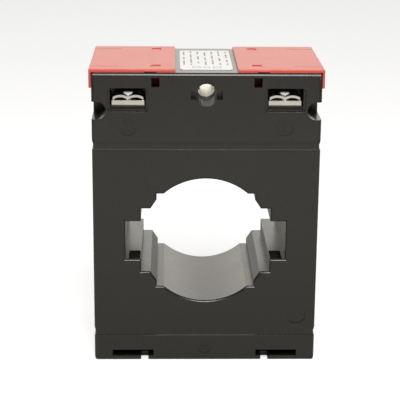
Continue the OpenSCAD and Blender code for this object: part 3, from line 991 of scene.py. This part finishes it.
@dataclass
class Studio:
    """Camera, floor, lamp and the pale surroundings."""

    eye: Vector = field(default_factory=lambda: Vector((-13.8735, -513.641, 207.4089)) * MM)
    pitch: float = -0.2837
    roll: float = -0.0082
    yaw: float = -0.0239
    lens: float = 120.131
    sensor: float = 36.0
    clip: tuple[float, float] = (0.01, 50.0)
    sweep: float = 1.7
    sweep_depth: tuple[float, float] = (0.25, 0.70)
    sweep_top: tuple[float, float] = (0.40, 0.62)
    sweep_colour: Colour = (1.0, 0.965, 0.88)
    room: float = 0.20
    ambient: float = 0.30
    floor_half: float = 6.0
    floor_drop: float = 0.02 * MM
    floor_colour: Colour = (0.62, 0.61, 0.58)
    floor_glow: float = 0.62
    aim: tuple[float, float, float] = (0, 0, 0.06)
    key: SoftLamp = SoftLamp("key_softbox", (0.03, -0.514, 0.673), (0.36, 0.60), 7.4)

    def camera(self) -> None:
        """Places the camera at its fitted position."""
        angles = ((self.yaw, "Z"), (self.pitch, "X"), (self.roll, "Y"))
        yaw, pitch, roll = (Matrix.Rotation(angle, 3, axis) for angle, axis in angles)
        turn = yaw @ pitch @ roll
        right, ahead, up = turn.col[0], turn.col[1], turn.col[2]
        data = bpy.data.cameras.new("camera")
        data.lens = self.lens
        data.sensor_width = self.sensor
        data.clip_start, data.clip_end = self.clip
        camera = bpy.data.objects.new("camera", data)
        basis = Matrix((right, up, -ahead)).transposed()
        camera.matrix_world = Matrix.Translation(self.eye) @ basis.to_4x4()
        bpy.context.scene.collection.objects.link(camera)
        bpy.context.scene.camera = camera

    def world(self) -> None:
        """White to the camera. Reflections see a warm white sweep at the back of a dimmer room."""
        world = bpy.data.worlds.new("surroundings")
        bpy.context.scene.world = world
        world.use_nodes = True
        world.node_tree.nodes.clear()
        g = Graph(world.node_tree)
        path = g.add("LightPath")
        where = g.add("TexCoord")
        apart = g.add("SeparateXYZ")
        g.join(where.outputs["Generated"], apart.inputs[0])
        behind = g.add("MapRange", interpolation_type="SMOOTHSTEP")
        low = g.add("MapRange", interpolation_type="SMOOTHSTEP")
        for node, axis, ends in ((behind, "Y", self.sweep_depth), (low, "Z", self.sweep_top)):
            node.inputs["From Min"].default_value, node.inputs["From Max"].default_value = ends
            g.join(apart.outputs[axis], node.inputs["Value"])
        low.inputs["To Min"].default_value, low.inputs["To Max"].default_value = 1.0, 0.0
        sweep = g.math("MULTIPLY", behind.outputs[0], low.outputs[0])
        room = g.math("ADD", g.math("MULTIPLY", sweep, self.sweep - self.room), self.room)
        rays = [path.outputs[f"Is {kind} Ray"] for kind in ("Glossy", "Transmission")]
        shiny = g.math("MAXIMUM", *rays)
        seen = g.math("MULTIPLY", shiny, room)
        dull = g.math("MULTIPLY", g.math("SUBTRACT", 1.0, shiny), self.ambient)
        camera = path.outputs["Is Camera Ray"]
        other = g.math("MULTIPLY", g.math("SUBTRACT", 1.0, camera), g.math("ADD", seen, dull))
        colour = g.mix(g.math("SUBTRACT", 1.0, shiny), self.sweep_colour, (1.0, 1.0, 1.0))
        background = g.add("Background")
        output = g.add("OutputWorld")
        g.join(colour, background.inputs["Color"])
        g.join(g.math("ADD", camera, other), background.inputs["Strength"])
        g.join(background.outputs[0], output.inputs[0])

    def floor(self) -> None:
        """A plain pale floor that keeps a soft shadow."""
        mesh = bpy.data.meshes.new("floor")
        half = self.floor_half
        rim = [(-half, -half, 0), (half, -half, 0), (half, half, 0), (-half, half, 0)]
        mesh.from_pydata(rim, [], [(0, 1, 2, 3)])
        floor = bpy.data.objects.new("floor", mesh)
        bpy.context.scene.collection.objects.link(floor)
        floor.location.z = -self.floor_drop
        material = bpy.data.materials.new("floor_white")
        material.use_nodes = True
        material.node_tree.nodes.clear()
        g = Graph(material.node_tree)
        diffuse = g.add("BsdfDiffuse", in_Color=rgba(self.floor_colour))
        glow = g.add("Emission", in_Color=(1.0, 1.0, 1.0, 1.0))
        path = g.add("LightPath")
        glowing = g.math("MULTIPLY", path.outputs["Is Camera Ray"], self.floor_glow)
        g.join(glowing, glow.inputs["Strength"])
        both = g.add("AddShader")
        output = g.add("OutputMaterial")
        g.join(diffuse.outputs[0], both.inputs[0])
        g.join(glow.outputs[0], both.inputs[1])
        g.join(both.outputs[0], output.inputs[0])
        mesh.materials.append(material)

    def lamp(self, kind: SoftLamp) -> None:
        """Adds a lamp that faces the middle of the object."""
        data = bpy.data.lights.new(kind.name, "AREA")
        data.shape = "RECTANGLE"
        data.size, data.size_y = kind.size
        data.energy = kind.watts
        lamp = bpy.data.objects.new(kind.name, data)
        lamp.location = kind.place
        back = Vector(kind.place) - Vector(self.aim)
        lamp.rotation_euler = back.to_track_quat("Z", "Y").to_euler()
        bpy.context.scene.collection.objects.link(lamp)

    def build(self) -> None:
        """Builds the whole studio."""
        bpy.context.scene.view_settings.view_transform = "Standard"
        self.camera()
        self.world()
        self.floor()
        self.lamp(self.key)
        log.info("studio ready")


# ------------------------------------------------------------------------ main


def main() -> None:
    """Builds the looks around the frame."""
    logging.basicConfig(level=logging.INFO, format="%(name)s: %(message)s")
    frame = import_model()
    nodes = frame["nodes"]
    Studio().build()
    shop = FinishShop()
    MouldedCase(nodes, shop).build()
    for side in Side:
        TerminalCover(side, shop).build()
        ClampTerminal(side, nodes, shop).build()
    RatingLabel(shop).build()
    InnerParts(nodes, shop).build()


if __name__ == "__main__":
    main()
